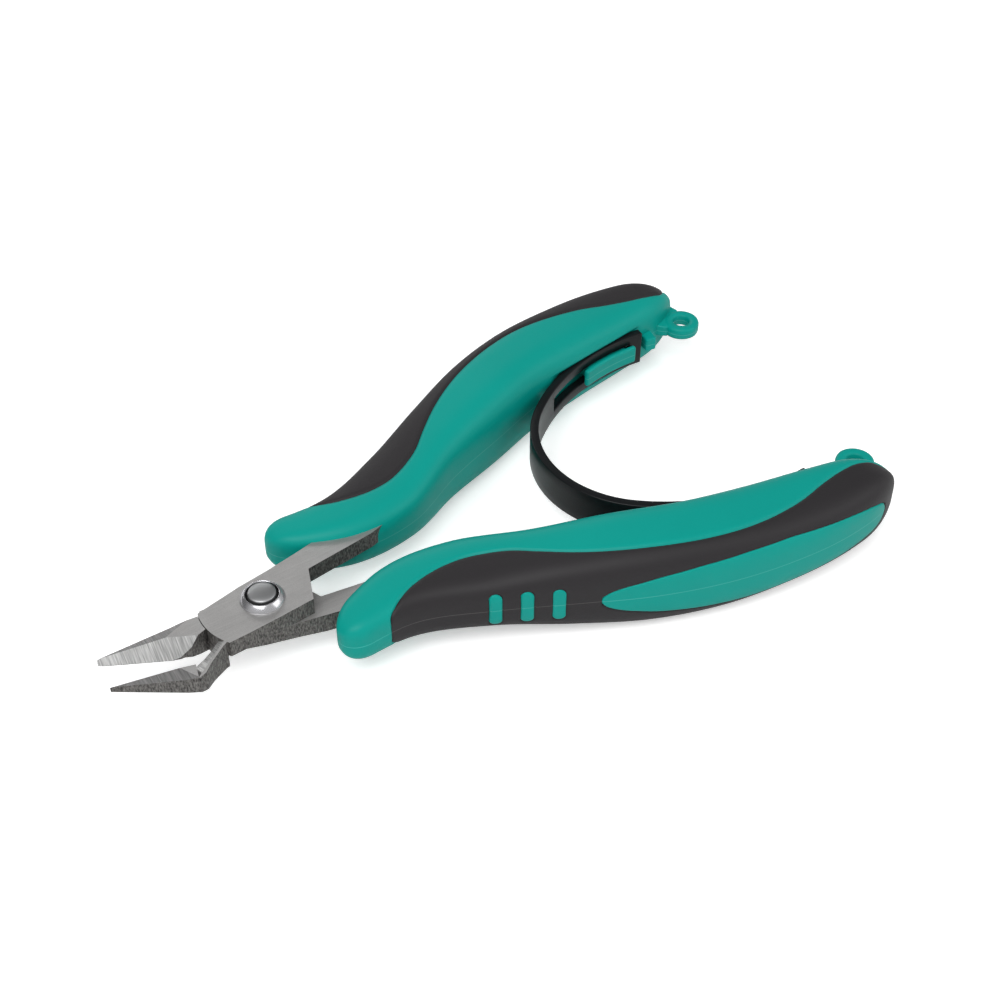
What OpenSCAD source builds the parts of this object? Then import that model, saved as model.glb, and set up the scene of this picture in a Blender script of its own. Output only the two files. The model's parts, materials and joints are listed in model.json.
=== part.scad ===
// Fine-nosed jewellery pliers with moulded two-colour handles and a leaf return spring.
// Units are millimetres. The tool lies flat: X runs along it (jaws at -X, handles at +X),
// Y is across it and Z is up. The origin is the centre of the bounding box, at its bottom.
// Two flat steel levers lap over each other at the pivot. lever_a is the upper one, from the
// +Y handle to the -Y jaw. lever_b is the lower one, from the -Y handle to the +Y jaw.

/* [Overall] */
// Opening angle between the jaws at rest, degrees
open_angle = 11.3; // [9:0.1:13]

/* [Steel levers] */
// Thickness of the upper lever
upper_t = 3.2; // [2.8:0.1:3.6]
// Thickness of the lower lever at its heel
lower_t = 3.8; // [3.4:0.1:4.2]
// Radius of the round nose where one lever turns inside the other
nose_r = 10.6; // [10.2:0.1:11]
// Gap between the sliding faces of the two levers
lap_gap = 0.06; // [0.04:0.01:0.1]

/* [Jaws] */
// Distance from the pivot to the line where the jaws meet
meet_d = 9; // [8.8:0.1:9.2]
// Angle of the meeting line to the tool's long axis, degrees
meet_angle = 15.5; // [14:0.5:17]
// Distance along the meeting line from the pivot's foot to the tips
tip_u = 26.1; // [25:0.1:27]
// Distance along the meeting line to where the flat top ends
fold_u = 15.2; // [14.5:0.1:16]
// Width of the bevel beside the meeting edge
bevel_w = 1.95; // [1.6:0.05:2.2]
// Height of the tips
tip_h = 0.8; // [0.6:0.1:1.2]
// Height of the meeting edge below the parting plane
edge_drop = 0.2; // [0:0.1:0.4]

/* [Pivot] */
// Radius of the pivot pin
pin_r = 2.5; // [2.3:0.1:2.6]
// Outer radius of the polished collar
collar_r = 3.7; // [3.5:0.1:3.9]
// Height of the button above the upper lever
button_h = 1.6; // [1.4:0.1:1.8]
// Running clearance between the pin and the lower lever
pin_clear = 0.04; // [0.02:0.01:0.08]

/* [Handles] */
// Squareness of the handle section
section_n = 3.66; // [3.4:0.02:4.4]
// Half height of the core inside the skin, front and rear
cavity_h = [4.1, 5.7]; // [4:0.1:6]
// Radius of the hang loop
loop_r = 3.5; // [3.3:0.1:3.7]
// Radius of the hole in the hang loop
loop_hole_r = 1.6; // [1.4:0.1:1.8]
// Thickness of the hang loop
loop_t = 2.4; // [2:0.1:2.8]

/* [Spring] */
// Thickness of the leaf spring
leaf_t = 1.6; // [1.4:0.1:1.8]
// Height of the leaf spring
leaf_h = 7; // [6.6:0.1:7.4]
// Height of the slots in the leaf
slot_h = 3; // [2.8:0.1:3.2]
// Clearance between the leaf and the handles
leaf_gap = 0.3; // [0.2:0.05:0.4]

/* [Hidden] */
$fn = 96;

steel = [0.60, 0.59, 0.58];
polished = [0.80, 0.80, 0.81];
teal = [0.0, 0.58, 0.54];
black = [0.17, 0.165, 0.175];

big = 60;          // half size of the blocks that cut the solids
loop_x = 105;      // hang loop centre from the pivot
loop_y = 25.2;
meet_gap = 0.05;   // half of the gap left between the closed jaws

// Place along X that centres the bounding box: the nose tip and the hang loop are its ends.
tip_w = 0.55;
tip_reach = tip_u * cos(meet_angle) + (meet_d + tip_w) * sin(meet_angle);
pivot_x = (tip_reach - loop_x - loop_r) / 2;

// ---------- placing ----------
module placed() { translate([pivot_x, 0, mid_z]) children(); }

// Local frame of the closed jaws: X along the meeting line to the tips, Y towards the -Y jaw.
module jaw_frame(turn = 0) { rotate([0, 0, 180 - meet_angle - turn]) children(); }

// A slab that fills everything below (or, flipped, above) a plane through a point at height z,
// which rises by slope degrees along X.
module below(x, z, slope) { translate([x, 0, z]) rotate([0, -slope, 0]) translate([-big, -big, -2 * big]) cube(2 * big); }
module above(x, z, slope) { translate([x, 0, z]) rotate([0, -slope, 0]) translate([-big, -big, 0]) cube(2 * big); }

// ---------- steel levers ----------
// Outline of one lever's head and tang, drawn for the upper lever
function lever_outline() = [
    [-12, 2.2], [-9, 2.85], [-2.1, 4.35], [3.7, 5.25], [9.7, 6.4], [14, 7.4], [22, 8.7], [30, 9.6],
    [36, 12], [45, 16.6], [58, 22.4], [58, 18.6], [45, 12.6], [32, 6.6], [22.2, 3.6], [15.4, 2.7],
    [9.4, 1.9], [6.8, -4.7], [0.5, -5.3], [-4.9, -5.75], [-9.9, -6.0], [-12, -6.3]];

module lever_plate_2d() {
    intersection() {
        polygon(lever_outline());
        union() {
            circle(r = nose_r);
            translate([0, -big]) square([2 * big, 2 * big]);
        }
    }
}

// Outer outline of a jaw beyond the nose: [distance along the meeting line, distance from it]
jaw_outer_a = [[26.1, 0.55], [14.5, 4.4], [12.5, 4.85], [11.5, 4.15], [10.2, 2.2], [7.9, -0.6], [6.4, -2.0]];
jaw_inner_a = [[7.0, -4.0], [8.4, -2.65], [10, -1.3], [11.3, -0.5], [13.1, 0], [26.1, 0]];
jaw_outer_b = [[26.1, 0.55], [16.5, 3.75], [15.1, 4.2], [10.2, 6.1], [8.2, 7.0]];
jaw_inner_b = [[7.2, 4.6], [9.0, 3.05], [10.2, 1.85], [11.3, 0.95], [13.1, 0.2], [14.4, 0], [26.1, 0]];

module jaw_2d_a() {
    polygon(concat([for (p = jaw_outer_a) [p[0], meet_d + p[1]]],
                   [for (p = jaw_inner_a) [p[0], meet_d + meet_gap + p[1]]]));
}
module jaw_2d_b() {
    polygon(concat([for (p = jaw_outer_b) [p[0], meet_d - p[1]]],
                   [for (p = jaw_inner_b) [p[0], meet_d - meet_gap - p[1]]]));
}

// Height of the jaw's top and bottom planes along the meeting line
fold_slope = atan((upper_t + edge_drop - tip_h) / (tip_u - fold_u));
under_slope = atan(1.8 / 4.5);

// Cuts shared by both jaws: sloping top, bevel beside the meeting edge, rising underside.
// dir is 1 for the jaw on the far side of the meeting line from the pivot, -1 for the near one.
top_tilt = 12;
bevel_angle = atan(bevel_w / (upper_t + edge_drop));
module jaw_cuts(dir, bevel_start) {
    translate([fold_u, meet_d + dir * bevel_w, upper_t])
        rotate([0, fold_slope, 0]) rotate([-dir * top_tilt, 0, 0])
            translate([-big, -big, 0]) cube(2 * big);
    translate([bevel_start, meet_d, -edge_drop])
        rotate([-dir * bevel_angle, 0, 0])
            translate([0, dir > 0 ? -big : 0, -1]) cube(big);
    intersection() {
        below(12.5, -edge_drop, under_slope);
        translate([0, -big, -big]) cube([12.5, 2 * big, 2 * big]);
    }
    translate([12.4, -big, -big - edge_drop]) cube([big, 2 * big, big]);
}

// Steep wall of the throat, ground into the upper lever's jaw behind its bevel
module throat_cut() {
    intersection() {
        translate([7.7, 7.5, upper_t]) rotate([0, 0, 55]) rotate([0, 5, 0]) rotate([37, 0, 0])
            translate([-big, -big, 0]) cube([2 * big, big, big]);
        translate([0, -big, -big]) cube([12.7, 2 * big, 2 * big]);
    }
}

// Underside of both levers, tapered from the heel to the nose
module heel_taper() {
    intersection() {
        below(8, -lower_t, -6);
        translate([-big, -big, -big]) cube([big + 8, 2 * big, 2 * big]);
    }
}

module nose(r, z0, z1) { translate([0, 0, z0]) cylinder(r = r, h = z1 - z0); }

module lever_a_solid() {
    difference() {
        union() {
            translate([0, 0, lap_gap / 2]) linear_extrude(upper_t - lap_gap / 2) lever_plate_2d();
            jaw_frame() difference() {
                translate([0, 0, -3]) linear_extrude(upper_t + 3) jaw_2d_a();
                difference() {
                    union() {
                        jaw_cuts(1, 12.6);
                        throat_cut();
                    }
                    nose(nose_r - 0.1, lap_gap, upper_t + 1);
                }
                nose(nose_r + 0.15, -4, lap_gap / 2);
            }
        }
        translate([0, 0, -1]) cylinder(r = pin_r, h = 6);
    }
}

module lever_b_solid() {
    difference() {
        union() {
            mirror([0, 1, 0]) translate([0, 0, -lower_t])
                linear_extrude(lower_t - lap_gap / 2) lever_plate_2d();
            jaw_frame(open_angle) difference() {
                translate([0, 0, -3]) linear_extrude(upper_t + 3) jaw_2d_b();
                difference() {
                    jaw_cuts(-1, 0);
                    nose(nose_r, -4, upper_t + 1);
                }
                nose(nose_r + 0.15, -lap_gap / 2, upper_t + 1);
            }
        }
        heel_taper();
        translate([0, 0, -6]) cylinder(r = pin_r + pin_clear, h = 8);
        translate([0, 0, -6]) cylinder(r = collar_r + 0.3, h = 6 - 2.6);
    }
}

module lever_a() { color(steel) placed() lever_a_solid(); }
module lever_b() { color(steel) placed() lever_b_solid(); }

// ---------- pivot ----------
module pivot_pin() {
    color(steel) placed() {
        rotate_extrude() polygon([[0, -3.5], [3.0, -3.3], [3.6, -2.66], [pin_r, -2.66],
            [pin_r, upper_t + button_h - 0.3], [pin_r - 0.25, upper_t + button_h], [0, upper_t + button_h + 0.2]]);
    }
}

module pivot_collar() {
    color(polished) placed() {
        rotate_extrude() polygon([[pin_r + 0.02, upper_t + 0.01], [collar_r, upper_t + 0.01], [collar_r, upper_t + 0.15],
            [pin_r + 0.4, upper_t + 1.15], [pin_r + 0.02, upper_t + 1.15]]);
    }
}

// ---------- handles ----------
// Stations along the back handle: x, inner y, outer y, half height
stations = [
    [6.9, 9.2, 16, 4], [19.5, 4.4, 15.6, 4.9], [31.6, 5.2, 20.5, 5.5], [43.6, 11.2, 26.4, 7.1],
    [55.6, 15.7, 32.1, 8.2], [67.7, 20.1, 36.1, 8.2], [79.7, 22.6, 38.2, 7.5], [91.8, 24.6, 38.6, 6.9],
    [106.9, 27.6, 36.5, 6.1]];
rings = 22;
sides = 20;
front_round = 5;
rear_round = 10.5;
end_power = 2.4;
front_flatness = 0.55;
rear_flatness = 0.8;

function spline(a, b, c, d, t) = 0.5 * (2 * b + (c - a) * t + (2 * a - 5 * b + 4 * c - d) * t * t
    + (3 * b - a - 3 * c + d) * t * t * t);
function last() = len(stations) - 1;
function station(s) =
    let (i = min(floor(s), last() - 1), t = s - i,
         b = stations[i], c = stations[i + 1],
         a = i > 0 ? stations[i - 1] : 2 * b - c,
         d = i < last() - 1 ? stations[i + 2] : 2 * c - b)
    spline(a, b, c, d, t);
function signed_pow(v, e) = sign(v) * pow(abs(v), e);
function round_off(d, r) = d >= r ? 1 : sqrt(max(0, 1 - pow(1 - max(d, 0) / r, end_power)));
function ring_at(k) =
    let (f = (1 - cos(180 * (0.03 + 0.94 * k / rings))) / 2,
         p = station(last() * f), x0 = stations[0][0], x1 = stations[last()][0],
         front = round_off(p[0] - x0, front_round), rear = round_off(x1 - p[0], rear_round),
         yc = (p[1] + p[2]) / 2, w = (p[2] - p[1]) / 2 * front * rear,
         h = p[3] * pow(front, front_flatness) * pow(rear, rear_flatness))
    [for (j = [0 : sides - 1]) let (a = 360 * j / sides)
        [p[0], yc + w * signed_pow(cos(a), 2 / section_n), h * signed_pow(sin(a), 2 / section_n)]];
// The lap plane is half the handles' height above the surface they lie on.
mid_z = max([for (k = [0 : rings]) for (p = ring_at(k)) p[2]]);

module handle_form() {
    pts = [for (k = [0 : rings]) each ring_at(k)];
    walls = [for (k = [0 : rings - 1], j = [0 : sides - 1])
        let (a = k * sides + j, b = k * sides + (j + 1) % sides) [a, b, b + sides, a + sides]];
    tris = [for (q = walls) each [[q[0], q[2], q[1]], [q[0], q[3], q[2]]]];
    polyhedron(points = pts, faces = concat(tris, [[for (j = [0 : sides - 1]) j]],
        [[for (j = [sides - 1 : -1 : 0]) rings * sides + j]]));
}

// Edge of the soft skin seen from above; the skin lies outside it
skin_edge = [[13, 19], [14.5, 15.9], [16.5, 14.3], [19.6, 12.6], [23, 11.6], [27, 11.2], [31, 11.7],
             [34.5, 13.1], [38, 15.2], [41.3, 18.2], [46, 22.2], [52, 26.2], [58, 29.2], [64.5, 31.6],
             [70, 32.9], [75, 33.4], [80, 33.3], [85.5, 32.6], [91, 31.2], [97, 30.1], [101, 29.9]];

// Raised parts of the core that show through the skin: three ribs and a long pointed panel
rib_x = 31.65;
rib_pitch = 4.68;
rib_w = 1.9;
rib_h = 6.6;
panel_half = [[47.2, 0], [47.6, 1], [48.6, 1.8], [50.6, 2.6], [56, 3.9], [63, 4.8], [71, 5.3], [79, 5.3],
              [86, 4.7], [92, 4.1], [97, 3.3], [99.8, 2.5], [101, 1.5], [101.4, 0]];
module windows() {
    for (i = [0 : 2])
        translate([rib_x + i * rib_pitch - rib_w / 2, 8, -rib_h / 2]) cube([rib_w, 20, rib_h]);
    below_half = [for (i = [len(panel_half) - 2 : -1 : 1]) [panel_half[i][0], -panel_half[i][1]]];
    translate([0, 22, 0]) rotate([-90, 0, 0]) linear_extrude(26) polygon(concat(panel_half, below_half));
}

// Room inside the skin that the core fills: low at the front, taller behind
cavity_front = [[20, 7], [20, 13.6], [33, 18.4], [46, 23], [46, 17], [33, 8]];
cavity_rear = [[44.4, 14], [44.4, 24.2], [57, 29.6], [69, 33.8], [80, 36.2], [90, 36.1], [96, 34.5],
               [97.5, 27], [80, 26], [60, 20]];
module cavity() {
    translate([0, 0, -cavity_h[0]]) linear_extrude(2 * cavity_h[0]) polygon(cavity_front);
    translate([0, 0, -cavity_h[1]]) linear_extrude(2 * cavity_h[1]) polygon(cavity_rear);
}

module skin_zone() {
    difference() {
        translate([0, 0, -15]) linear_extrude(30)
            polygon(concat(skin_edge, [[112, 30.5], [112, 50], [8, 50], [8, 19]]));
        cavity();
        windows();
    }
}

// Leaf spring path: a tight middle arc that runs into a wider arc at each end
arc1_r = 20.5;
arc1_x = 76.7;
arc1_half = 50;
arc2_r = 41;
arc2_turn = 46;
arc2_x = arc1_x - arc1_r * cos(arc1_half) + arc2_r * cos(arc1_half);
arc2_y = arc1_r * sin(arc1_half) - arc2_r * sin(arc1_half);
module wedge(a0, a1, r) {
    polygon([[0, 0], for (i = [0 : 8]) r * [cos(a0 + (a1 - a0) * i / 8), sin(a0 + (a1 - a0) * i / 8)]]);
}

// Part of a ring about the end arc's centre, between two angles run back from the leaf's end
module end_band(r0, r1, t0, t1, h) {
    a0 = 180 - arc1_half - arc2_turn;
    translate([arc2_x, arc2_y, -h / 2]) linear_extrude(h) intersection() {
        difference() {
            circle(r = r1);
            circle(r = r0);
        }
        wedge(a0 + t0, a0 + t1, 90);
    }
}

slot_turn = [3.4, 37];
lug_turn = [3, 22];
module leaf_spring() {
    color(black) placed() {
        translate([arc1_x, 0, -leaf_h / 2]) linear_extrude(leaf_h) intersection() {
            difference() {
                circle(r = arc1_r);
                circle(r = arc1_r - leaf_t);
            }
            wedge(180 - arc1_half, 180 + arc1_half, 60);
        }
        for (m = [0, 1]) mirror([0, m, 0]) difference() {
            end_band(arc2_r - leaf_t, arc2_r, 0, arc2_turn, leaf_h);
            end_band(arc2_r - 9, arc2_r + 9, slot_turn[0], slot_turn[1], slot_h);
        }
    }
}

// Recess in the handle's inner side that the leaf lies in
module leaf_recess() { end_band(arc2_r - 9, arc2_r + leaf_gap, -7, arc2_turn, leaf_h + 2 * leaf_gap); }

// T-shaped lug through the leaf's slot, and the stop block behind the leaf's end
module spring_lug() {
    end_band(arc2_r - leaf_t - 0.4, arc2_r + 2, lug_turn[0] + 2.5, lug_turn[1] - 2.5, slot_h - 0.6);
    end_band(arc2_r - leaf_t - 1.6, arc2_r - leaf_t - 0.3, lug_turn[0], lug_turn[1], slot_h + 0.8);
    end_band(arc2_r - leaf_t, arc2_r + 2, -5, -1.8, slot_h + 0.8);
}

module hang_loop() {
    translate([loop_x, loop_y, -loop_t / 2]) cylinder(r = loop_r, h = loop_t);
    translate([loop_x, loop_y, -loop_t / 2]) rotate([0, 0, 125]) translate([0, -2.6, 0]) cube([6, 5.2, loop_t]);
}

module tang_pocket(upper) {
    z0 = upper ? lap_gap / 2 : -lower_t;
    t = upper ? upper_t - lap_gap / 2 : lower_t - lap_gap / 2;
    translate([0, 0, z0]) linear_extrude(t) lever_plate_2d();
}

module core_solid(upper) {
    difference() {
        union() {
            difference() {
                handle_form();
                leaf_recess();
            }
            spring_lug();
            hang_loop();
        }
        skin_zone();
        tang_pocket(upper);
        translate([loop_x, loop_y, -loop_t]) cylinder(r = loop_hole_r, h = 2 * loop_t);
    }
}

module skin_solid() {
    intersection() {
        handle_form();
        skin_zone();
    }
}

module handle_core_back() { color(teal) placed() core_solid(true); }
module handle_core_front() { color(teal) placed() mirror([0, 1, 0]) core_solid(false); }
module handle_skin_back() { color(black) placed() skin_solid(); }
module handle_skin_front() { color(black) placed() mirror([0, 1, 0]) skin_solid(); }

lever_a();
lever_b();
pivot_pin();
pivot_collar();
handle_core_back();
handle_core_front();
handle_skin_back();
handle_skin_front();
leaf_spring();
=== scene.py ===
import json
import math

import bmesh
import bpy
import numpy as np
from mathutils import Matrix, Vector


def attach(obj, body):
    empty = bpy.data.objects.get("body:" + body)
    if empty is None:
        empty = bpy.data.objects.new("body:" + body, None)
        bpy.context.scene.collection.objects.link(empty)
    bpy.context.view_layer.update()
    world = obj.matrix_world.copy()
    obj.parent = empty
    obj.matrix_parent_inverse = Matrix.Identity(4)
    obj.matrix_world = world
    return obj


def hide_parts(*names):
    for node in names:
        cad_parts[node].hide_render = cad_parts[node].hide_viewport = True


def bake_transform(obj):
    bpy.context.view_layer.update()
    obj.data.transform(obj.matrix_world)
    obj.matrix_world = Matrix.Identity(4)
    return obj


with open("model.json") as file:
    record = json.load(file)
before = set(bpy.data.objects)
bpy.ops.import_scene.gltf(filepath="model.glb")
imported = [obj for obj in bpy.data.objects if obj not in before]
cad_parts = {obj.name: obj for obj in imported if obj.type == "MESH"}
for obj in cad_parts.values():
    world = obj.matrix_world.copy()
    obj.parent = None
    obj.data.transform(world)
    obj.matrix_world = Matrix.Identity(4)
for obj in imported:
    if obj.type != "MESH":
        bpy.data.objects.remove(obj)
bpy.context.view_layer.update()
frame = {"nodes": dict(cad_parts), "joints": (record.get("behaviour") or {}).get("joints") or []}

# Shapes and the camera's place are in millimetres about the pivot, with the lap plane at z = 0.
# Materials and lights are in metres.
MM = 0.001
PIVOT = Vector(frame["joints"][0]["pos_m"])

# Colours are linear
TEAL, TEAL_LINE = (0.0, 0.315, 0.268), (0.12, 0.50, 0.46)
BLACK, BLACK_LINE = (0.020, 0.018, 0.020), (0.14, 0.13, 0.13)
LEAF_BLACK = (0.006, 0.007, 0.008)
BUTTON, CHROME, SHADOW = (0.36, 0.365, 0.37), (0.58, 0.58, 0.60), (0.05, 0.05, 0.05)
SATIN_STEEL = (0.36, 0.355, 0.35), (0.80, 0.79, 0.78)
# Painted shade: steel on sloping tops is darker
SLOPE_PAINTED_SHADE = (0.17, 0.17, 0.17), (0.36, 0.355, 0.35)
# Painted highlight: steel on bevels is brighter
BEVEL_PAINTED_HIGHLIGHT = (0.42, 0.42, 0.42), (0.95, 0.95, 0.94)
# Side-wall steel: a coarse darker finish, darkened further with painted shade
WALL_COARSE_AND_SHADE = (0.055, 0.052, 0.050), (0.30, 0.29, 0.275)
STEEL_STAIN = (0.14, 0.14, 0.14)

# How far up a steel face has to point to count as flat, as a sloping top, or as more than a wall;
# steel() paints shade and highlight by these
FLAT_UP, SLOPE_UP, WALL_UP = 0.975, 0.83, 0.25
# Half the width of the parting line round the plastic, in metres
PARTING_LINE_HALF = 0.00007

# The handle's section at stations along it: x, inner y, outer y, half height
STATIONS = [(6.9, 9.2, 16, 4), (19.5, 4.4, 15.6, 4.9), (31.6, 5.2, 20.5, 5.5),
            (43.6, 11.2, 26.4, 7.1), (55.6, 15.7, 32.1, 8.2), (67.7, 20.1, 36.1, 8.2),
            (79.7, 22.6, 38.2, 7.5), (91.8, 24.6, 38.6, 6.9), (106.9, 27.6, 36.5, 6.1)]
FRONT_X, REAR_X = STATIONS[0][0], STATIONS[-1][0]
SECTION_N = 3.66
FRONT_ROUND, REAR_ROUND = 5, 10.5
END_POWER = 2.4
FRONT_FLATNESS, REAR_FLATNESS = 0.55, 0.8

# The skin's edge over the handle, as x, y, and the groove that runs along it
SKIN_EDGE = [(8, 21), (13, 19), (14.5, 15.9), (16.5, 14.3), (19.6, 12.6), (23, 11.6), (27, 11.2),
             (31, 11.7), (34.5, 13.1), (38, 15.2), (41.3, 18.2), (46, 22.2), (52, 26.2), (58, 29.2),
             (64.5, 31.6), (70, 32.9), (75, 33.4), (80, 33.3), (85.5, 32.6), (91, 31.2), (97, 30.1),
             (101, 29.9), (103.6, 30.4), (105.2, 31.8), (106.9, 34.2), (108, 35.5)]
GROOVE_DEPTH, GROOVE_WIDTH, GROOVE_FADE = 0.30, 0.28, 3
CORE_UNDER_SKIN = 0.45

# The long panel on the outer side, as x, half height, the ribs ahead of it, and their beds
PANEL = [(47.2, 0), (47.6, 1.0), (48.6, 1.8), (50.6, 2.6), (56, 3.9), (63, 4.8), (71, 5.3),
         (79, 5.3), (86, 4.7), (92, 4.1), (97, 3.3), (99.8, 2.5), (101, 1.5), (101.4, 0)]
PANEL_FROM, PANEL_TO = PANEL[0][0], PANEL[-1][0]
PANEL_TIP_HALF = 0.02
RIBS = [31.65, 36.33, 41.01]
RIB_HALF_WIDTH, RIB_HALF_HEIGHT = 0.95, 3.35
BED_DEPTH, BED_FROM, BED_TO = 0.55, -0.18, 0.22
INLAY_DEPTH, INLAY_PROUD = 0.8, 0.06
PANEL_ROUND, RIB_ROUND = 0.28, 0.2

# The leaf: an arc at each end that lies along the handle, joined by a bow about the middle
LEAF_C, LEAF_R, LEAF_T = (89.877, -15.703), 41.0, 1.6
LEAF_END_DEG, LEAF_JOIN_DEG = 84, 130
BOW_C, BOW_R = (76.7, 0.0), 20.5
LEAF_HALF_HEIGHT, SLOT_HALF_HEIGHT = 3.5, 1.5
SLOT_FROM_DEG, SLOT_TO_DEG = 3.4, 37

# The recess that the leaf lies in
RECESS_FROM, RECESS_TO = 66.0, 97.9
RECESS_GAP = 0.3
RECESS_HALF_HEIGHT, RECESS_SHARE = 3.85, 0.6

# The hang loop, and its neck as distance from the ring's centre, reach to each side, half height
LOOP_C = (105, 25.2)
LOOP_R, LOOP_BORE_R, LOOP_HALF = 3.5, 1.6, 1.2
NECK_DEG = 125
NECK = [(1.75, 3.2, 3.15, 1.15), (2.8, 3.6, 3.4, 1.15), (5.0, 4.4, 3.6, 1.3), (8.0, 5.0, 3.7, 1.8)]

# The pivot's pin, with the dome on top of it, and the collar round it
PIN_R, PIN_BOTTOM = 2.3, -3.5
DOME_FOOT, DOME_RISE = 4.45, 0.45
COLLAR_FOOT = 3.2

# The camera: degrees, distance from the point it is aimed at, and lens and sensor in millimetres
CAM_AZ, CAM_EL, CAM_DIST = 33.22, 42.21, 286.07
CAM_AIM = (46.83, 1.50, 0.0)
CAM_LENS, CAM_SENSOR = 58.922, 36


def smoothstep(a, b, x):
    t = np.clip((np.asarray(x, float) - a) / (b - a), 0, 1)
    return t * t * (3 - 2 * t)


def spline(knots, x):
    """A smooth curve through [x, y] knots: cubic pieces that share a slope at each knot."""
    k = np.array(knots, float)
    slope = np.gradient(k[:, 1], k[:, 0])
    x = np.clip(np.asarray(x, float), k[0, 0], k[-1, 0])
    i = np.clip(np.searchsorted(k[:, 0], x, side="right") - 1, 0, len(k) - 2)
    w = k[i + 1, 0] - k[i, 0]
    t = (x - k[i, 0]) / w
    return ((2 * t**3 - 3 * t**2 + 1) * k[i, 1] + (t**3 - 2 * t**2 + t) * w * slope[i]
            + (3 * t**2 - 2 * t**3) * k[i + 1, 1] + (t**3 - t**2) * w * slope[i + 1])


# ---------------------------------------------------------------- materials


def new_material(name):
    m = bpy.data.materials.new(name)
    m.use_nodes = True
    tree = m.node_tree
    return m, tree, tree.nodes["Principled BSDF"]


def math_node(tree, op, a, b=None, c=None, clamp=False):
    n = tree.nodes.new("ShaderNodeMath")
    n.operation = op
    n.use_clamp = clamp
    for i, v in enumerate((a, b, c)):
        if v is None:
            continue
        if isinstance(v, (int, float)):
            n.inputs[i].default_value = v
        else:
            tree.links.new(v, n.inputs[i])
    return n.outputs[0]


def mix_color(tree, fac, a, b):
    n = tree.nodes.new("ShaderNodeMix")
    n.data_type = "RGBA"
    for socket, v in ((n.inputs[0], fac), (n.inputs[6], a), (n.inputs[7], b)):
        if isinstance(v, (int, float)):
            socket.default_value = v
        elif isinstance(v, (tuple, list)):
            socket.default_value = (*v, 1)
        else:
            tree.links.new(v, socket)
    return n.outputs[2]


def contrast(tree, value, gain, middle):
    """A noise value spread out about its mean, and moved to a new one."""
    centred = math_node(tree, "SUBTRACT", value, 0.5)
    return math_node(tree, "MULTIPLY_ADD", centred, gain, middle, clamp=True)


def noise(tree, scale, stretch=(1, 1, 1), detail=3, turn=0.0):
    coord = tree.nodes.new("ShaderNodeTexCoord")
    place = tree.nodes.new("ShaderNodeMapping")
    place.inputs["Scale"].default_value = stretch
    place.inputs["Rotation"].default_value = (0, 0, turn)
    tree.links.new(coord.outputs["Object"], place.inputs["Vector"])
    n = tree.nodes.new("ShaderNodeTexNoise")
    n.inputs["Scale"].default_value = scale
    n.inputs["Detail"].default_value = detail
    tree.links.new(place.outputs["Vector"], n.inputs["Vector"])
    return n.outputs["Fac"]


def bump(tree, bsdf, height, distance, strength):
    n = tree.nodes.new("ShaderNodeBump")
    n.inputs["Distance"].default_value = distance
    n.inputs["Strength"].default_value = strength
    tree.links.new(height, n.inputs["Height"])
    tree.links.new(n.outputs["Normal"], bsdf.inputs["Normal"])


def moulded(name, color, line_color, rough, grain, gloss_level):
    """Moulded plastic: fine grain, uneven gloss and a faint parting line at half height."""
    m, tree, bsdf = new_material(name)
    coord = tree.nodes.new("ShaderNodeTexCoord")
    split = tree.nodes.new("ShaderNodeSeparateXYZ")
    tree.links.new(coord.outputs["Object"], split.inputs[0])
    line = math_node(tree, "COMPARE", split.outputs["Z"], PIVOT.z, PARTING_LINE_HALF)
    patchy = noise(tree, 60, detail=4)
    dark = tuple(c * 0.9 for c in color)
    base = mix_color(tree, patchy, dark, color)
    base = mix_color(tree, math_node(tree, "MULTIPLY", line, 0.38), base, line_color)
    tree.links.new(base, bsdf.inputs["Base Color"])
    gloss = math_node(tree, "MULTIPLY_ADD", patchy, 0.10, rough - 0.05)
    tree.links.new(gloss, bsdf.inputs["Roughness"])
    bump(tree, bsdf, noise(tree, 2600, detail=2), grain, 0.6)
    bsdf.inputs["Specular IOR Level"].default_value = gloss_level
    return m


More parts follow.
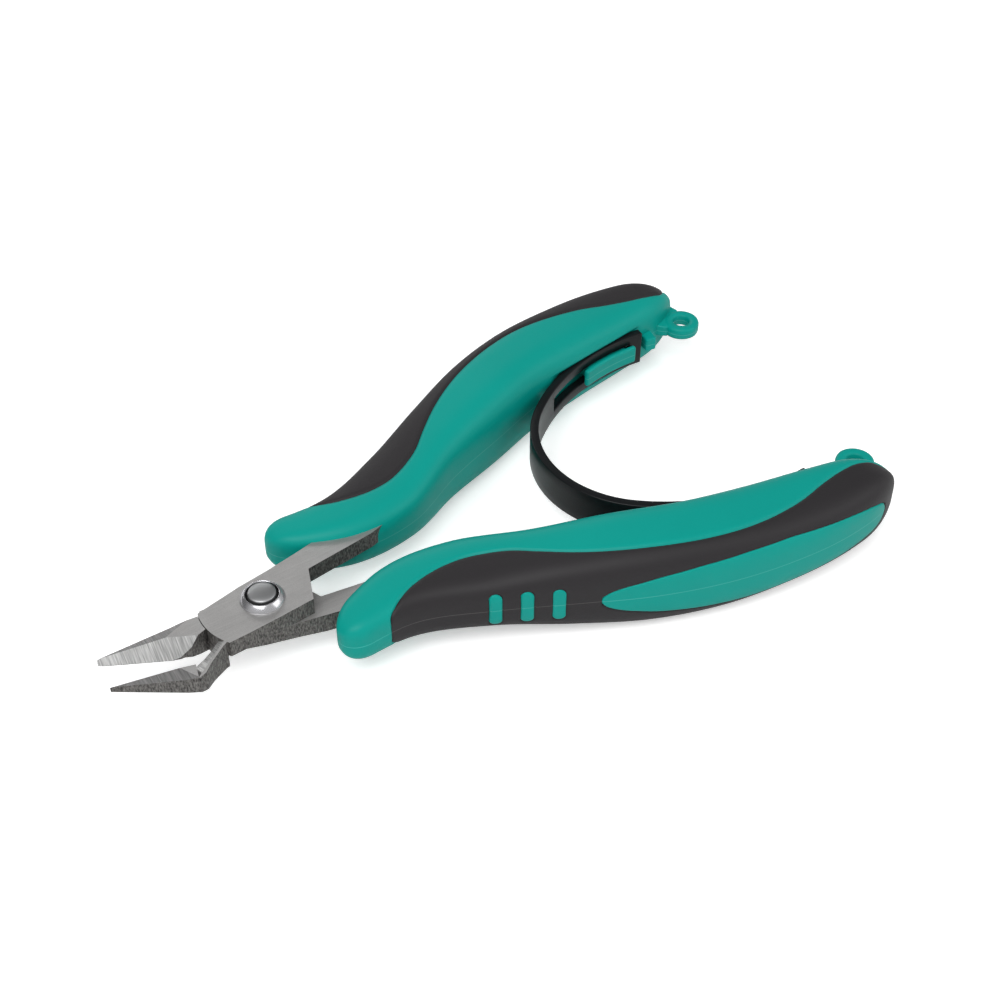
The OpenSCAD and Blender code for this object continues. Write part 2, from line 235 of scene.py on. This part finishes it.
def steel(name, turn):
    """Ground steel: satin flats, painted shade on sloping tops, painted highlight on bevels, and
    coarse side walls darkened further with painted shade.
    """
    m, tree, bsdf = new_material(name)
    geometry = tree.nodes.new("ShaderNodeNewGeometry")
    split = tree.nodes.new("ShaderNodeSeparateXYZ")
    tree.links.new(geometry.outputs["True Normal"], split.inputs[0])
    up = math_node(tree, "ABSOLUTE", split.outputs["Z"])
    side = math_node(tree, "LESS_THAN", up, WALL_UP)
    flat = math_node(tree, "GREATER_THAN", up, FLAT_UP)
    sloping = math_node(tree, "GREATER_THAN", up, SLOPE_UP)

    grain = noise(tree, 5200, detail=5)
    lines = noise(tree, 2600, (0.06, 1, 1), 4, turn)
    cross = noise(tree, 5200, (1, 0.05, 0.05), 4, turn + 0.5)
    pits = noise(tree, 4200, (1, 1, 0.38), 6)
    broad = noise(tree, 260, detail=3)
    scratch = contrast(tree, pits, 2.6, 0.40)
    stria = contrast(tree, cross, 2.6, 0.5)
    brushed = math_node(tree, "MULTIPLY_ADD", lines, 0.4, math_node(tree, "MULTIPLY", grain, 0.6))

    # Painted light by face direction: painted shade on sloping tops, painted highlight on steeper
    # faces such as bevels
    color = mix_color(tree, sloping, mix_color(tree, stria, *BEVEL_PAINTED_HIGHLIGHT),
                      mix_color(tree, stria, *SLOPE_PAINTED_SHADE))
    color = mix_color(tree, flat, color, mix_color(tree, brushed, *SATIN_STEEL))
    # Side walls: coarse darker finish plus painted shade
    color = mix_color(tree, side, color, mix_color(tree, scratch, *WALL_COARSE_AND_SHADE))
    color = mix_color(tree, math_node(tree, "MULTIPLY", broad, 0.25), color, STEEL_STAIN)
    tree.links.new(color, bsdf.inputs["Base Color"])
    bsdf.inputs["Metallic"].default_value = 0.9
    rough = math_node(tree, "MULTIPLY_ADD", side, 0.15, 0.36)
    rough = math_node(tree, "MULTIPLY_ADD", grain, 0.16, rough)
    tree.links.new(rough, bsdf.inputs["Roughness"])

    coarse = math_node(tree, "MULTIPLY", math_node(tree, "MULTIPLY", scratch, side), 3.0)
    fine = math_node(tree, "ADD", math_node(tree, "MULTIPLY", stria, 0.5), grain)
    bump(tree, bsdf, math_node(tree, "ADD", coarse, fine), 0.00002, 0.8)
    return m


def turned(name, base, rough):
    """Polished or turned metal with a trace of unevenness."""
    m, tree, bsdf = new_material(name)
    bsdf.inputs["Base Color"].default_value = (*base, 1)
    bsdf.inputs["Metallic"].default_value = 1.0
    uneven = math_node(tree, "MULTIPLY_ADD", noise(tree, 900, detail=4), 0.12, rough)
    tree.links.new(uneven, bsdf.inputs["Roughness"])
    bump(tree, bsdf, noise(tree, 1400, detail=3), 0.00001, 0.5)
    return m


teal = moulded("teal_plastic", TEAL, TEAL_LINE, rough=0.44, grain=0.00003, gloss_level=0.16)
rubber = moulded("black_rubber", BLACK, BLACK_LINE, rough=0.55, grain=0.00004, gloss_level=0.3)
leaf_black = moulded("leaf_plastic", LEAF_BLACK, LEAF_BLACK, rough=0.30, grain=0.00002,
                     gloss_level=0.22)
lever_a_steel = steel("lever_a_steel", math.radians(-8))
lever_b_steel = steel("lever_b_steel", math.radians(12))
button_steel = turned("button_steel", BUTTON, 0.38)
collar_chrome = turned("collar_chrome", CHROME, 0.16)
groove_dark = turned("groove_dark", SHADOW, 0.5)


# ---------------------------------------------------------------- mesh helpers


def mesh_object(name, verts, faces, material, smooth=True):
    mesh = bpy.data.meshes.new(name)
    co = np.array(verts, float) * MM + np.array(PIVOT)
    mesh.from_pydata([tuple(v) for v in co], [], faces)
    mesh.validate()
    o = bpy.data.objects.new(name, mesh)
    bpy.context.scene.collection.objects.link(o)
    mesh.materials.append(material)
    bm = bmesh.new()
    bm.from_mesh(mesh)
    bmesh.ops.recalc_face_normals(bm, faces=bm.faces)
    bm.to_mesh(mesh)
    bm.free()
    for p in mesh.polygons:
        p.use_smooth = smooth
    return o


def grid_faces(rows, cols, wrap=False):
    """Faces between rows of vertices; with wrap, each row closes on itself."""
    faces = []
    for i in range(rows - 1):
        for j in range(cols if wrap else cols - 1):
            a, b = i * cols + j, i * cols + (j + 1) % cols
            faces.append((a, b, b + cols, a + cols))
    return faces


def end_caps(rows):
    """The first and the last face of a bar whose rows have four corners each."""
    return [(0, 1, 2, 3), tuple(4 * (rows - 1) + k for k in range(4))]


def bevelled(o, width, segments=3, angle=30):
    weld = o.modifiers.new("weld", "WELD")
    weld.merge_threshold = 1e-6
    b = o.modifiers.new("bevel", "BEVEL")
    b.width = width * MM
    b.segments = segments
    b.limit_method = "ANGLE"
    b.angle_limit = math.radians(angle)
    b.harden_normals = False
    return o


def joined(name, objects):
    """One object from several, with their modifiers applied first."""
    depsgraph = bpy.context.evaluated_depsgraph_get()
    bm = bmesh.new()
    materials = []
    for o in objects:
        mesh = bpy.data.meshes.new_from_object(o.evaluated_get(depsgraph))
        slot_of = []
        for m in mesh.materials:
            if m not in materials:
                materials.append(m)
            slot_of.append(materials.index(m))
        for p in mesh.polygons:
            p.material_index = slot_of[p.material_index] if slot_of else 0
        bm.from_mesh(mesh)
        bpy.data.meshes.remove(mesh)
    out = bpy.data.meshes.new(name)
    bm.to_mesh(out)
    bm.free()
    for m in materials:
        out.materials.append(m)
    for o in objects:
        bpy.data.objects.remove(o)
    made = bpy.data.objects.new(name, out)
    bpy.context.scene.collection.objects.link(made)
    return made


# ---------------------------------------------------------------- handles


def rounding(d, r):
    """How much of its full width a section has, at a distance d from an end rounded over r."""
    left = 1 - np.clip(d, 0, r) / r
    return np.where(d >= r, 1.0, np.sqrt(np.maximum(0, 1 - left**END_POWER)))


def uniform_spline(v, q):
    """The value at q of a uniform Catmull-Rom curve through the values v."""
    last = len(v) - 1
    i = int(min(math.floor(q), last - 1))
    t = q - i
    b, c = v[i], v[i + 1]
    a = v[i - 1] if i > 0 else 2 * b - c
    d = v[i + 2] if i < last - 1 else 2 * c - b
    return 0.5 * (2 * b + (c - a) * t + (2 * a - 5 * b + 4 * c - d) * t * t
                  + (3 * b - a - 3 * c + d) * t**3)


def station(x):
    """Centre y, half width and half height of the handle's section at x, rounded ends included."""
    columns = np.array(STATIONS).T
    lo, hi = 0.0, len(STATIONS) - 1.0
    for _ in range(40):
        mid = (lo + hi) / 2
        if uniform_spline(columns[0], mid) < x:
            lo = mid
        else:
            hi = mid
    inner, outer, half = (uniform_spline(c, (lo + hi) / 2) for c in columns[1:])
    front, rear = rounding(x - FRONT_X, FRONT_ROUND), rounding(REAR_X - x, REAR_ROUND)
    return ((inner + outer) / 2, (outer - inner) / 2 * front * rear,
            half * front**FRONT_FLATNESS * rear**REAR_FLATNESS)


def section(x, count=361):
    """Half of the section at x, from the outer side over the top to the inner side.

    Returns y, z and the arc length from the outer side.
    """
    yc, w, h = station(x)
    t = np.linspace(0, math.pi, count)
    t = t + 0.12 * np.sin(4 * t)
    c, s = np.cos(t), np.sin(t)
    y = yc + w * np.sign(c) * np.abs(c) ** (2 / SECTION_N)
    z = h * np.abs(s) ** (2 / SECTION_N)
    z[0] = z[-1] = 0
    arc = np.concatenate([[0], np.cumsum(np.hypot(np.diff(y), np.diff(z)))])
    return y, z, arc


def skin_edge(x, y, arc):
    """Arc length from the outer side to the skin's edge, or 0 where there is no skin."""
    edge = float(spline(SKIN_EDGE, x))
    if edge >= y[0] - 1e-4:
        return 0.0
    k = int(np.argmax(y < edge)) if (y < edge).any() else len(y) - 1
    f = (y[k - 1] - edge) / max(1e-9, y[k - 1] - y[k])
    return arc[k - 1] + f * (arc[k] - arc[k - 1])


def groove(arc, edge):
    """Depth of the groove between skin and core at an arc length; it fades where the skin ends."""
    depth = GROOVE_DEPTH * min(1, edge / GROOVE_FADE)
    return depth * np.exp(-(((edge - arc) / GROOVE_WIDTH) ** 2))


def sunk(y, z, depth, at):
    """The point (y, z) of the section, moved in by depth; at is what station() gives there."""
    yc, w, h = at
    n = np.array([(y - yc) / max(w, 0.3), z / max(h, 0.3)])
    n = np.sign(n) * np.abs(n) ** (SECTION_N - 1)
    n /= max(1e-6, np.hypot(*n))
    return y - n[0] * depth, z - n[1] * depth


def inside_inlay(x, z):
    """Roughly how far (x, z) lies inside the long panel or a rib: positive inside."""
    best = -9.0
    if PANEL_FROM < x < PANEL_TO:
        best = float(np.interp(x, *np.array(PANEL).T)) - abs(z)
    for c in RIBS:
        dx, over = abs(x - c), abs(z) - (RIB_HALF_HEIGHT - RIB_HALF_WIDTH)
        best = max(best, RIB_HALF_WIDTH - (dx if over <= 0 else math.hypot(dx, over)))
    return best


def recess_wall(x):
    """y of the wall behind the leaf, or None outside the recess."""
    if not RECESS_FROM < x < RECESS_TO:
        return None
    return LEAF_C[1] + math.sqrt((LEAF_R + RECESS_GAP) ** 2 - (x - LEAF_C[0]) ** 2)


def rear_end():
    """Stations over the last 2 mm, closer together towards the end."""
    return REAR_X - 2 * (1 - np.linspace(0, 1, 20)) ** 2


def handle_skin(name):
    """The soft skin: the outer part of the surface, with shallow beds for the ribs and panel."""
    xs = np.concatenate([np.arange(12.6, 16, 0.12), np.arange(16, REAR_X - 2, 0.4), rear_end()])
    rings, cols = [], 97
    near = np.array([0.12, 0.3, 0.6, 1.1])
    for x in xs:
        y, z, arc = section(x)
        edge = skin_edge(x, y, arc)
        if not edge:
            continue
        at = station(x)
        u = np.linspace(-1, 1, cols - 2 * len(near))
        s = np.concatenate([u * max(edge - 1.4, edge * 0.6), edge - near, -(edge - near)])
        s = np.sort(np.clip(s, -edge, edge))
        s[0], s[-1] = -edge, edge
        yy, zz = np.interp(np.abs(s), arc, y), np.interp(np.abs(s), arc, z) * np.sign(s)
        outer_side = at[0] + 0.4 * at[1]
        ring = []
        for a, b, drop in zip(yy, zz, groove(np.abs(s), edge)):
            bed = 0
            if a > outer_side:
                bed = BED_DEPTH * float(smoothstep(BED_FROM, BED_TO, inside_inlay(x, b)))
            ring.append((x, *sunk(a, b, drop + bed, at)))
        rings.append(ring)
    verts = [p for r in rings for p in r]
    return mesh_object(name, verts, grid_faces(len(rings), cols), rubber)


def handle_core(name):
    """The hard core: the inner part of the surface, with the recess that the leaf lies in."""
    xs = np.concatenate([FRONT_X + 1.5 * np.linspace(0, 1, 18) ** 2,
                         np.arange(FRONT_X + 1.7, 65.8, 0.3), [65.9, 66.05],
                         np.arange(66.4, 97.6, 0.4), [97.75, 97.95],
                         np.arange(98.3, REAR_X - 2, 0.3), rear_end()])
    over, under = 44, 15
    near = np.array([0.0, 0.12, 0.3, 0.6])
    rings = []
    for x in xs:
        y, z, arc = section(x)
        at = station(x)
        edge = skin_edge(x, y, arc)
        inner = np.arange(len(y)) >= len(y) // 2
        wall_z = min(RECESS_HALF_HEIGHT, RECESS_SHARE * at[2])
        s_wall = max(float(np.interp(-wall_z, -z[inner], arc[inner])), edge + 0.02)
        start = edge * float(smoothstep(14.6, 21, x))
        room = s_wall - start
        s = np.concatenate([start + near * min(1, room / 2),
                            np.linspace(start + min(1.0, room * 0.4), s_wall, over - len(near)),
                            np.linspace(s_wall + 0.06, arc[-1], under)])
        drop = np.where(s < edge - 1e-6, CORE_UNDER_SKIN, groove(s, edge))
        wall = recess_wall(x)
        half = []
        for i, (a, b, d) in enumerate(zip(np.interp(s, arc, y), np.interp(s, arc, z), drop)):
            a, b = sunk(a, b, d, at)
            if wall is not None and i >= over:
                a = max(a, wall)
            half.append((x, a, b))
        rings.append(half + [(p[0], p[1], -p[2]) for p in reversed(half[:-1])])
    cols = len(rings[0])
    verts = [p for r in rings for p in r]
    faces = grid_faces(len(rings), cols)
    closing = [i for i, r in enumerate(rings) if abs(r[0][2]) < 1e-6]
    for i in closing[:-1]:
        faces.append((i * cols + cols - 1, i * cols, (i + 1) * cols, (i + 1) * cols + cols - 1))
    return mesh_object(name, verts, faces, teal)


def inlay(name, outline, ring):
    """A raised pad on the outer side; outline is a convex loop of (x, z), and ring its rounding."""
    loop = np.array(outline, float)
    centre = loop.mean(0)

    def outer_y(x, z):
        yc, w, h = station(x)
        return yc + w * (max(0.0, 1 - min(1, abs(z) / h) ** SECTION_N)) ** (1 / SECTION_N)

    def shrink(by):
        along = np.roll(loop, -1, 0) - np.roll(loop, 1, 0)
        n = np.stack([along[:, 1], -along[:, 0]], 1)
        n /= np.maximum(1e-9, np.hypot(*n.T))[:, None]
        if ((loop - centre) * n).sum() > 0:
            n = -n
        return loop + n * by

    rows = []
    for by, lift in ((0.0, -INLAY_DEPTH), (0.0, -0.12), (ring * 0.3, 0.6 * INLAY_PROUD),
                     (ring, INLAY_PROUD)):
        rows.append([(x, outer_y(x, z) + lift, z) for x, z in shrink(by)])
    for f in (0.8, 0.6, 0.4, 0.2):
        rows.append([(x, outer_y(x, z * f) + INLAY_PROUD, z * f) for x, z in shrink(ring)])
    n = len(loop)
    faces = grid_faces(len(rows), n, wrap=True)
    top = (len(rows) - 1) * n
    for j in range(n // 2 - 1):
        faces.append((top + j, top + j + 1, top + n - 2 - j, top + n - 1 - j))
    return mesh_object(name, [p for r in rows for p in r], faces, teal)


def mirrored(upper):
    return upper + [(x, -z) for x, z in reversed(upper)]


def panel_outline():
    knots = np.array(PANEL)
    t = np.linspace(0, 1, 90)
    x = PANEL_FROM + (PANEL_TO - PANEL_FROM) * (0.5 - 0.5 * np.cos(math.pi * t))
    top = np.interp(x, knots[:, 0], knots[:, 1])
    top = np.convolve(np.pad(top, 2, mode="edge"), np.ones(5) / 5, "valid")
    top[0] = top[-1] = PANEL_TIP_HALF
    return mirrored(list(zip(x, top)))


def rib_outline(c):
    straight = RIB_HALF_HEIGHT - RIB_HALF_WIDTH
    return mirrored([(c - RIB_HALF_WIDTH * math.cos(a), straight + RIB_HALF_WIDTH * math.sin(a))
                     for a in np.linspace(0, math.pi, 12)])


def arc_band(name, radii, degrees, half_height, bevel, steps=24):
    """Part of a ring about the leaf's end arc, with degrees counted back from the leaf's end."""
    verts = []
    for i in range(steps + 1):
        a = math.radians(LEAF_END_DEG + degrees[0] + (degrees[1] - degrees[0]) * i / steps)
        for r, z in ((radii[0], -half_height), (radii[1], -half_height), (radii[1], half_height),
                     (radii[0], half_height)):
            verts.append((LEAF_C[0] + r * math.cos(a), LEAF_C[1] + r * math.sin(a), z))
    faces = grid_faces(steps + 1, 4, wrap=True) + end_caps(steps + 1)
    return bevelled(mesh_object(name, verts, faces, teal, smooth=False), bevel)


def spring_lug():
    """The lug's stem through the leaf's slot, its cap over the slot, and the stop past the end."""
    face = LEAF_R - LEAF_T
    rooted = LEAF_R + 2
    return [arc_band("stem", (face - 0.5, rooted), (5.5, 19.5), 1.2, 0.15),
            arc_band("cap", (face - 1.35, face - 0.3), (3, 22), 1.8, 0.45),
            arc_band("stop", (face, rooted), (-4.8, -1.6), 1.4, 0.35, steps=6)]


def hang_loop(name):
    """The hang ring with a drafted neck that runs into the handle's end."""
    r, R, t, n = LOOP_BORE_R, LOOP_R, LOOP_HALF, 64
    lower = [(r, -t + 0.25), (r + 0.25, -t), (R - 0.45, -t), (R - 0.12, -t + 0.2), (R, -t + 0.6)]
    profile = mirrored(lower)
    verts = [(LOOP_C[0] + p[0] * math.cos(a), LOOP_C[1] + p[0] * math.sin(a), p[1])
             for a in (2 * math.pi * i / n for i in range(n)) for p in profile]
    k = len(profile)
    faces = []
    for i in range(n):
        here, after = i * k, (i + 1) % n * k
        faces += [(here + j, here + (j + 1) % k, after + (j + 1) % k, after + j) for j in range(k)]
    ring = mesh_object(name, verts, faces, teal)

    out = np.array([math.cos(math.radians(NECK_DEG)), math.sin(math.radians(NECK_DEG))])
    across = np.array([-out[1], out[0]])
    verts = []
    for along, far, near, half in NECK:
        p = np.array(LOOP_C) + out * along
        for s, z in ((-far, -half), (near, -half), (near, half), (-far, half)):
            verts.append((*(p + across * s), z))
    faces = grid_faces(len(NECK), 4, wrap=True) + end_caps(len(NECK))
    return [ring, bevelled(mesh_object(name + "_neck", verts, faces, teal, smooth=False), 0.3)]


def build_handle(side):
    """Core and skin of one handle; the front one is the back one mirrored."""
    core = [handle_core("core")] + spring_lug() + hang_loop("loop")
    core.append(inlay("panel", panel_outline(), PANEL_ROUND))
    core += [inlay("rib", rib_outline(c), RIB_ROUND) for c in RIBS]
    core = joined("core_" + side, core)
    skin = handle_skin("skin_" + side)
    for o in (core, skin):
        if side == "front":
            o.data.transform(Matrix.Diagonal((1, -1, 1, 1)))
            o.data.flip_normals()
        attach(o, side)
    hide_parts("handle_core_" + side)
    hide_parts("handle_skin_" + side)


build_handle("back")
build_handle("front")


# ---------------------------------------------------------------- leaf spring


def leaf_path(end_points=90, bow_points=60):
    """Points and outward normals along the leaf's outer face, from the back end to the front."""
    pts = []
    for centre, r, degrees in (
            (LEAF_C, LEAF_R, np.linspace(LEAF_END_DEG, LEAF_JOIN_DEG, end_points)),
            (BOW_C, BOW_R, np.linspace(LEAF_JOIN_DEG, 180, bow_points)[1:])):
        for a in np.radians(degrees):
            n = np.array([math.cos(a), math.sin(a)])
            pts.append((np.array(centre) + r * n, n))
    return pts + [(p * [1, -1], n * [1, -1]) for p, n in reversed(pts[:-1])]


def leaf_spring(end_points=90):
    """One strip with a long slot at each end."""
    path = leaf_path(end_points)
    count = len(path)
    step = (LEAF_JOIN_DEG - LEAF_END_DEG) / (end_points - 1)
    slot = {i for i in range(count) if min(i, count - 1 - i) < end_points
            and SLOT_FROM_DEG <= min(i, count - 1 - i) * step <= SLOT_TO_DEG}
    levels = (-LEAF_HALF_HEIGHT, -SLOT_HALF_HEIGHT, SLOT_HALF_HEIGHT, LEAF_HALF_HEIGHT)
    verts = []
    for p, n in path:
        q = p - n * LEAF_T
        for z in levels:
            verts += [(*p, z), (*q, z)]

    def vertex(i, j, face):
        return i * 2 * len(levels) + j * 2 + face

    cell = {(i, j) for i in range(count - 1) for j in range(len(levels) - 1)
            if not (j == 1 and i in slot and i + 1 in slot)}
    faces = []
    for i, j in cell:
        corners = ((i, j), (i + 1, j), (i + 1, j + 1), (i, j + 1))
        faces.append([vertex(*c, 0) for c in corners])
        faces.append([vertex(*corners[k], 1) for k in (0, 3, 2, 1)])
        for beside, a, b in (((i - 1, j), 0, 3), ((i + 1, j), 1, 2), ((i, j - 1), 0, 1),
                             ((i, j + 1), 3, 2)):
            if beside not in cell:
                a, b = corners[a], corners[b]
                faces.append((vertex(*a, 0), vertex(*b, 0), vertex(*b, 1), vertex(*a, 1)))
    strip = mesh_object("leaf", verts, faces, leaf_black, smooth=False)
    o = joined("leaf_spring_piece", [bevelled(strip, 0.22, 3, 40)])
    for p in o.data.polygons:
        p.use_smooth = True
    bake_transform(o)
    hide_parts("leaf_spring")


leaf_spring()


# ---------------------------------------------------------------- pivot


def lathe(name, profile, material, n=128):
    """Turned about the pivot; profile is a list of (radius, height above the lap plane)."""
    verts = [(r * math.cos(a), r * math.sin(a), z) for r, z in profile
             for a in (2 * math.pi * i / n for i in range(n))]
    return mesh_object(name, verts, grid_faces(len(profile), n, wrap=True), material)


dome = [(PIN_R * math.sin(t), DOME_FOOT + DOME_RISE * math.cos(t))
        for t in np.linspace(0.001, math.pi / 2, 14)]
button = joined("pivot_button", [
    lathe("button", dome + [(PIN_R, 4.1), (PIN_R, 3.0)], button_steel),
    lathe("head_below", [(PIN_R, -2.0), (PIN_R, -2.68), (3.42, -2.68), (3.55, -2.8), (3.5, -2.98),
                         (3.2, -3.25), (2.6, -3.42), (0.001, PIN_BOTTOM)], button_steel)])
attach(button, "back")
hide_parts("pivot_pin")
collar = joined("pivot_ring", [
    lathe("groove", [(PIN_R, 3.26), (3.05, 3.26)], groove_dark),
    lathe("collar", [(2.72, 3.22), (2.72, 4.22), (2.8, 4.33), (2.92, 4.35), (3.05, 4.28),
                     (3.58, 3.5), (3.68, 3.36), (3.7, COLLAR_FOOT)], collar_chrome)])
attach(collar, "back")
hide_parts("pivot_collar")

# ---------------------------------------------------------------- levers

for lever, look in (("lever_a", lever_a_steel), ("lever_b", lever_b_steel)):
    o = frame["nodes"][lever]
    o.data.materials.clear()
    o.data.materials.append(look)
    bevelled(o, 0.10, 2, 18)
    for p in o.data.polygons:
        p.use_smooth = False

# ---------------------------------------------------------------- floor, light and camera

bpy.ops.mesh.primitive_plane_add(size=4, location=(0, 0, -0.0001))
floor = bpy.context.object
floor.name = "floor"
floor_look, floor_tree, floor_bsdf = new_material("floor")
floor_bsdf.inputs["Base Color"].default_value = (0.90, 0.90, 0.90, 1)
floor_bsdf.inputs["Roughness"].default_value = 0.8
floor_bsdf.inputs["Emission Color"].default_value = (1, 1, 1, 1)
# The floor glows for the camera only, so it looks pale without lighting the tool from below
seen = floor_tree.nodes.new("ShaderNodeLightPath")
glow = math_node(floor_tree, "MULTIPLY", seen.outputs["Is Camera Ray"], 0.42)
floor_tree.links.new(glow, floor_bsdf.inputs["Emission Strength"])
floor.data.materials.append(floor_look)

# White surroundings, dimmer on the +Y side, behind the tool as the camera sees it
world = bpy.data.worlds.new("studio")
bpy.context.scene.world = world
world.use_nodes = True
sky = world.node_tree
sky.nodes["Background"].inputs["Color"].default_value = (1, 1, 1, 1)
direction = sky.nodes.new("ShaderNodeTexCoord")
sky_split = sky.nodes.new("ShaderNodeSeparateXYZ")
sky.links.new(direction.outputs["Generated"], sky_split.inputs[0])
fade = sky.nodes.new("ShaderNodeMapRange")
fade.interpolation_type = "SMOOTHSTEP"
for limit, value in (("From Min", -0.1), ("From Max", 0.55), ("To Min", 0.58), ("To Max", 0.20)):
    fade.inputs[limit].default_value = value
sky.links.new(sky_split.outputs["Y"], fade.inputs["Value"])
sky.links.new(fade.outputs["Result"], sky.nodes["Background"].inputs["Strength"])


def softbox(name, location, target, size, watts):
    light = bpy.data.lights.new(name, "AREA")
    light.shape = "RECTANGLE"
    light.size, light.size_y = size
    light.energy = watts
    o = bpy.data.objects.new(name, light)
    o.location = location
    o.rotation_euler = (Vector(target) - Vector(location)).to_track_quat("-Z", "Y").to_euler()
    bpy.context.scene.collection.objects.link(o)


softbox("key", (-0.30, -0.20, 0.60), (0, 0, 0), (0.5, 0.4), 3.0)
softbox("fill", (0.45, -0.35, 0.40), (0.02, 0, 0.01), (0.4, 0.4), 0.8)
softbox("rim", (0.05, 0.60, 0.30), (0.02, 0, 0.01), (0.7, 0.12), 0.9)

az, el = math.radians(CAM_AZ), math.radians(CAM_EL)
gaze = Vector((math.sin(az) * math.cos(el), math.cos(az) * math.cos(el), -math.sin(el)))
camera_data = bpy.data.cameras.new("camera")
camera_data.sensor_width = CAM_SENSOR
camera_data.lens = CAM_LENS
camera_data.clip_start = 0.01
camera = bpy.data.objects.new("camera", camera_data)
camera.location = PIVOT + (Vector(CAM_AIM) - gaze * CAM_DIST) * MM
camera.rotation_euler = gaze.to_track_quat("-Z", "Y").to_euler()
bpy.context.scene.collection.objects.link(camera)
bpy.context.scene.camera = camera
bpy.context.scene.view_settings.view_transform = "Standard"
